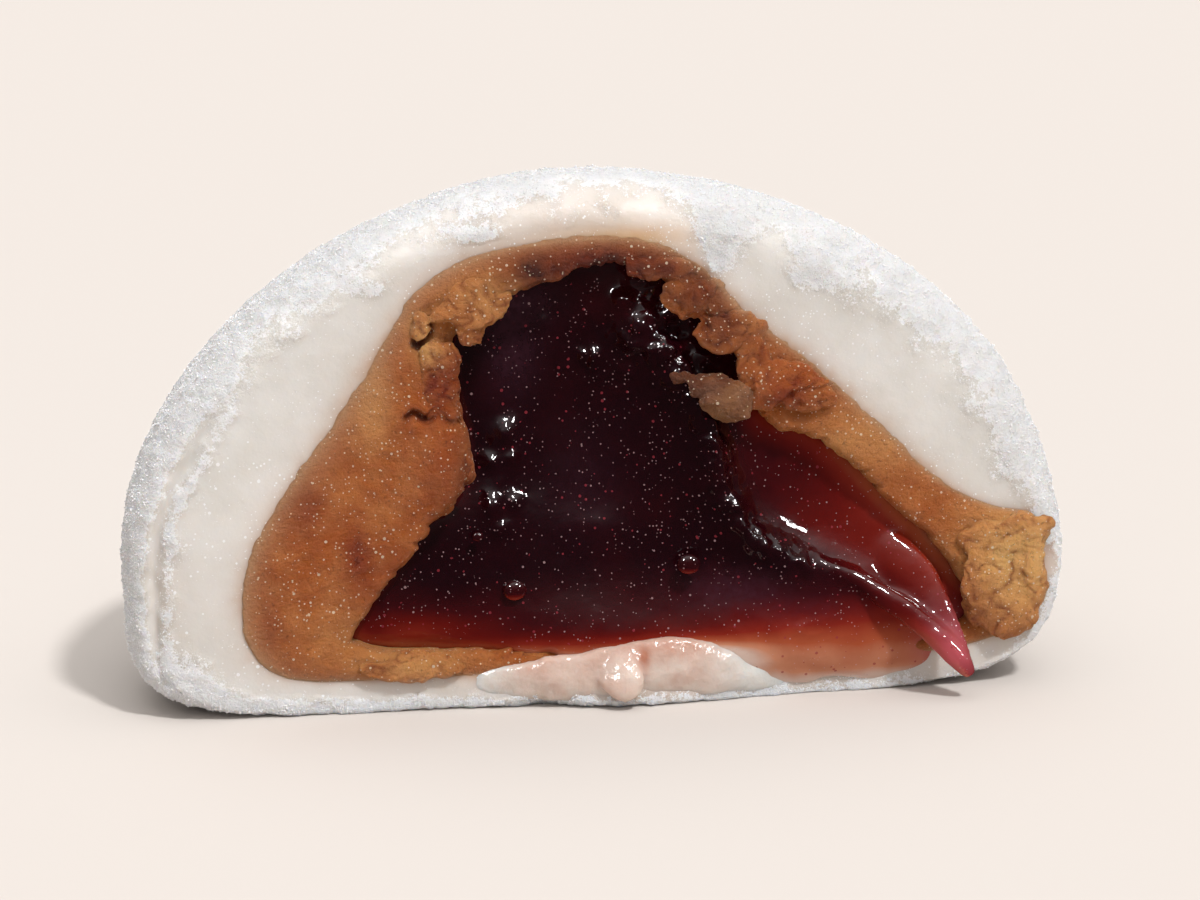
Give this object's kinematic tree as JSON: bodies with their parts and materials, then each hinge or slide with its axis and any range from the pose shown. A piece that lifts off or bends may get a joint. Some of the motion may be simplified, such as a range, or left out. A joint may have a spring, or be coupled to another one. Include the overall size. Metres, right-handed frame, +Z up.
{
  "type": "mochi rice cake half",
  "caption": "Half of a round filled rice cake cut through its middle, with a white floury skin, brown bean paste and a dark jelly core that sags out of the cut.",
  "frame": {"origin": "centre of the base, on the surface it rests on", "axes": "+X along the cut face to the right seen from the front, +Y back from the cut into the cake, +Z up"},
  "size_m": [0.057, 0.0324, 0.0318],
  "materials": {
    "rice_skin": "soft translucent rice dough, dusted with white starch outside",
    "bean_paste": "moist caramel-brown bean paste, fine and granular",
    "dark_jelly": "wet, glossy dark maroon jelly",
    "paste_crumb": "rough moist paste"
  },
  "bodies": {
    "root": {"mochi_skin": "rice_skin", "bean_paste": "bean_paste", "jelly_core": "dark_jelly", "paste_crumb": "paste_crumb"}
  },
  "joints": []
}
